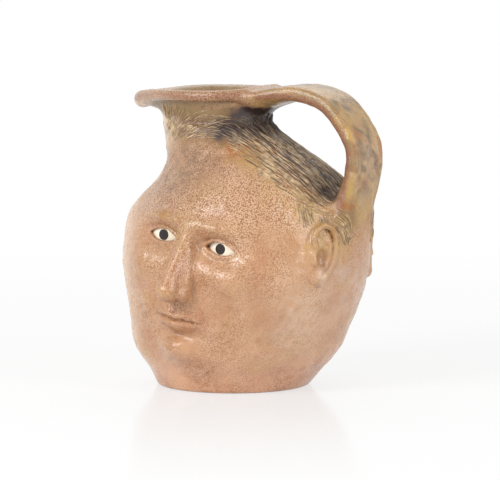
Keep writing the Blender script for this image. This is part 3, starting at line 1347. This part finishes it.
class FACEJUG_OT_hair(Operator):
    """Lays the strokes of hair on the head and the neck"""

    bl_idname = "facejug.hair"
    bl_label = "Lay on the hair"

    def execute(self, context):
        sizes, colours = context.scene.facejug_sizes, context.scene.facejug_colours
        work = bmesh.new()
        for name in ("head_front_clay", "head_back_clay", "neck_and_rim_clay", "strap_handle_clay"):
            work.from_mesh(bpy.data.objects[name].data)
        skin = BVHTree.FromBMesh(work)
        work.free()
        groups = [comb_hair(sizes, skin), lay_locks(sizes, skin)]
        hair = put("hair_strokes_clay", stroke_lines(groups))
        modifier = hair.modifiers.new("Hair strokes", "NODES")
        modifier.node_group, inputs = stroke_tree()
        material = hair_clay(colours)
        for name, value in (("Width", sizes.stroke_width), ("Sides", 6), ("Clay", material)):
            modifier[inputs[name]] = value
        strokes = evaluated_mesh(hair)
        hair.modifiers.clear()
        hair.data = strokes
        settle(hair, material, [])
        return {"FINISHED"}


# The stage.

# The photograph's view: how far round from the front, how far up, and how far off in metres.
CAMERA_TURN, CAMERA_LIFT, CAMERA_FAR = math.radians(32), math.radians(8.2), 2.2

# What the camera aims at, in metres to the right of the foot and above it, and its lens in mm.
AIM_RIGHT, AIM_UP, CAMERA_LENS = 0.00964, 0.0835, 271.2
JUG_MIDDLE, FLOOR_REACH = (0.01, 0, 0.09), 6.0

# The lamps: name, how far towards the camera, to its right and up, size, all in metres, watts.
LAMPS = (("key lamp", 0.8, -0.85, 0.7, 0.5, 12.0), ("fill lamp", 0.8, 0.95, 0.5, 0.5, 7.5),
         ("back lamp", -0.7, 0.0, 1.0, 0.9, 4.0))


def face_towards(carrier, place, aim):
    """Puts a lamp or a camera at a place, turned towards a point."""
    carrier.location = place
    carrier.rotation_euler = (aim - place).to_track_quat("-Z", "Y").to_euler()
    bpy.context.scene.collection.objects.link(carrier)


def seen_directly(tree):
    """Whether a ray comes from the camera, straight, through glass or off a mirror: 1 or 0."""
    path = add(tree, "ShaderNodeLightPath")
    seen = path["Is Camera Ray"]
    for ray in ("Is Glossy Ray", "Is Transmission Ray"):
        seen = add(tree, "ShaderNodeMath", {0: seen, 1: path[ray]}, operation="MAXIMUM")[0]
    return seen


def floor_card():
    """White acrylic: a matt white that keeps the shadow, with a faint polish round the jug."""
    material, tree, place, _, _ = new_material("white acrylic")
    far = add(tree, "ShaderNodeVectorMath", {0: place}, operation="LENGTH")["Value"]
    fade, polished = (add(tree, "ShaderNodeMapRange", {
        "Value": far, "From Min": near, "From Max": off, "To Min": low, "To Max": high},
        interpolation_type="SMOOTHSTEP")["Result"]
        for near, off, low, high in ((0.12, 0.8, 0.8, 1.0), (0.06, 0.42, 0.17, 0.0)))
    share = add(tree, "ShaderNodeMath", {0: seen_directly(tree), 1: fade}, operation="MULTIPLY")[0]
    matt = add(tree, "ShaderNodeBsdfDiffuse", {"Color": linear("#efefef")})
    level = painted(tree, linear("#fcfcfc"), (linear("#ffffff"), (far, 0.12, 0.8)))
    white = add(tree, "ShaderNodeEmission", {"Color": level, "Strength": 1.0})
    card = add(tree, "ShaderNodeMixShader", {0: share, 1: matt[0], 2: white[0]})
    polish = add(tree, "ShaderNodeBsdfGlossy", {"Color": linear("#fdfdfd"), "Roughness": 0.12})
    mixed = add(tree, "ShaderNodeMixShader", {0: polished, 1: card[0], 2: polish[0]})
    add(tree, "ShaderNodeOutputMaterial", {"Surface": mixed[0]})
    return material


def white_world():
    """A soft white light all round, which shows as plain white itself."""
    world = bpy.data.worlds.new("white studio")
    world.use_nodes = True
    tree = world.node_tree
    tree.nodes.clear()
    ambient, white = (add(tree, "ShaderNodeBackground", {
        "Color": linear("#ffffff"), "Strength": strength}) for strength in (0.52, 1.0))
    mixed = add(tree, "ShaderNodeMixShader", {0: seen_directly(tree), 1: ambient[0], 2: white[0]})
    add(tree, "ShaderNodeOutputWorld", {"Surface": mixed[0]})
    return world


class FACEJUG_OT_stage(Operator):
    """Sets the white floor, the soft lamps and the camera at the photograph's angle"""

    bl_idname = "facejug.stage"
    bl_label = "Set the stage"

    def execute(self, context):
        scene = context.scene
        mesh = bpy.data.meshes.new("floor_card")
        corners = [(x * FLOOR_REACH, y * FLOOR_REACH, 0)
                   for x, y in ((-1, -1), (1, -1), (1, 1), (-1, 1))]
        mesh.from_pydata(corners, [], [(0, 1, 2, 3)])
        floor = put("floor_card", mesh)
        floor.data.materials.append(floor_card())
        scene.world = white_world()

        right = Vector((math.cos(CAMERA_TURN), math.sin(CAMERA_TURN), 0))
        front = Vector((math.sin(CAMERA_TURN), -math.cos(CAMERA_TURN), 0))
        toward = front * math.cos(CAMERA_LIFT) + Vector((0, 0, math.sin(CAMERA_LIFT)))
        data = bpy.data.cameras.new("camera")
        data.lens, data.sensor_width, data.clip_end = CAMERA_LENS, 36.0, 50.0
        scene.camera = bpy.data.objects.new("camera", data)
        aim = right * AIM_RIGHT + toward.cross(right) * AIM_UP
        face_towards(scene.camera, toward * CAMERA_FAR, aim)
        for name, ahead, aside, up, size, watts in LAMPS:
            light = bpy.data.lights.new(name, "AREA")
            light.shape, light.size, light.energy = "SQUARE", size, watts
            face_towards(bpy.data.objects.new(name, light),
                         front * ahead + right * aside + Vector((0, 0, up)), Vector(JUG_MIDDLE))
        scene.view_settings.view_transform = "Standard"
        return {"FINISHED"}


# The add-on.


class FACEJUG_PT_panel(Panel):
    """Lists the steps that make the jug"""

    bl_idname = "FACEJUG_PT_panel"
    bl_label = "Face jug"
    bl_space_type = "VIEW_3D"
    bl_region_type = "UI"
    bl_category = "Face jug"

    def draw(self, context):
        layout = self.layout
        for group in (context.scene.facejug_sizes, context.scene.facejug_colours):
            for name in group.bl_rna.properties.keys():
                if name not in ("rna_type", "name"):
                    layout.prop(group, name)
        for step in STEPS:
            layout.operator(step.bl_idname)


STEPS = (FACEJUG_OT_clay, FACEJUG_OT_eyes, FACEJUG_OT_hair, FACEJUG_OT_stage)
CLASSES = (JugSizes, JugColours, *STEPS, FACEJUG_PT_panel)


def register():
    """Adds the jug's settings, steps and panel."""
    for one in CLASSES:
        bpy.utils.register_class(one)
    bpy.types.Scene.facejug_sizes = PointerProperty(type=JugSizes)
    bpy.types.Scene.facejug_colours = PointerProperty(type=JugColours)


def unregister():
    """Takes the jug's settings, steps and panel away."""
    del bpy.types.Scene.facejug_colours
    del bpy.types.Scene.facejug_sizes
    for one in reversed(CLASSES):
        bpy.utils.unregister_class(one)


def main():
    """Makes the jug and its stage."""
    register()
    bpy.ops.facejug.clay()
    bpy.ops.facejug.eyes()
    bpy.ops.facejug.hair()
    bpy.ops.facejug.stage()


if __name__ == "__main__":
    main()
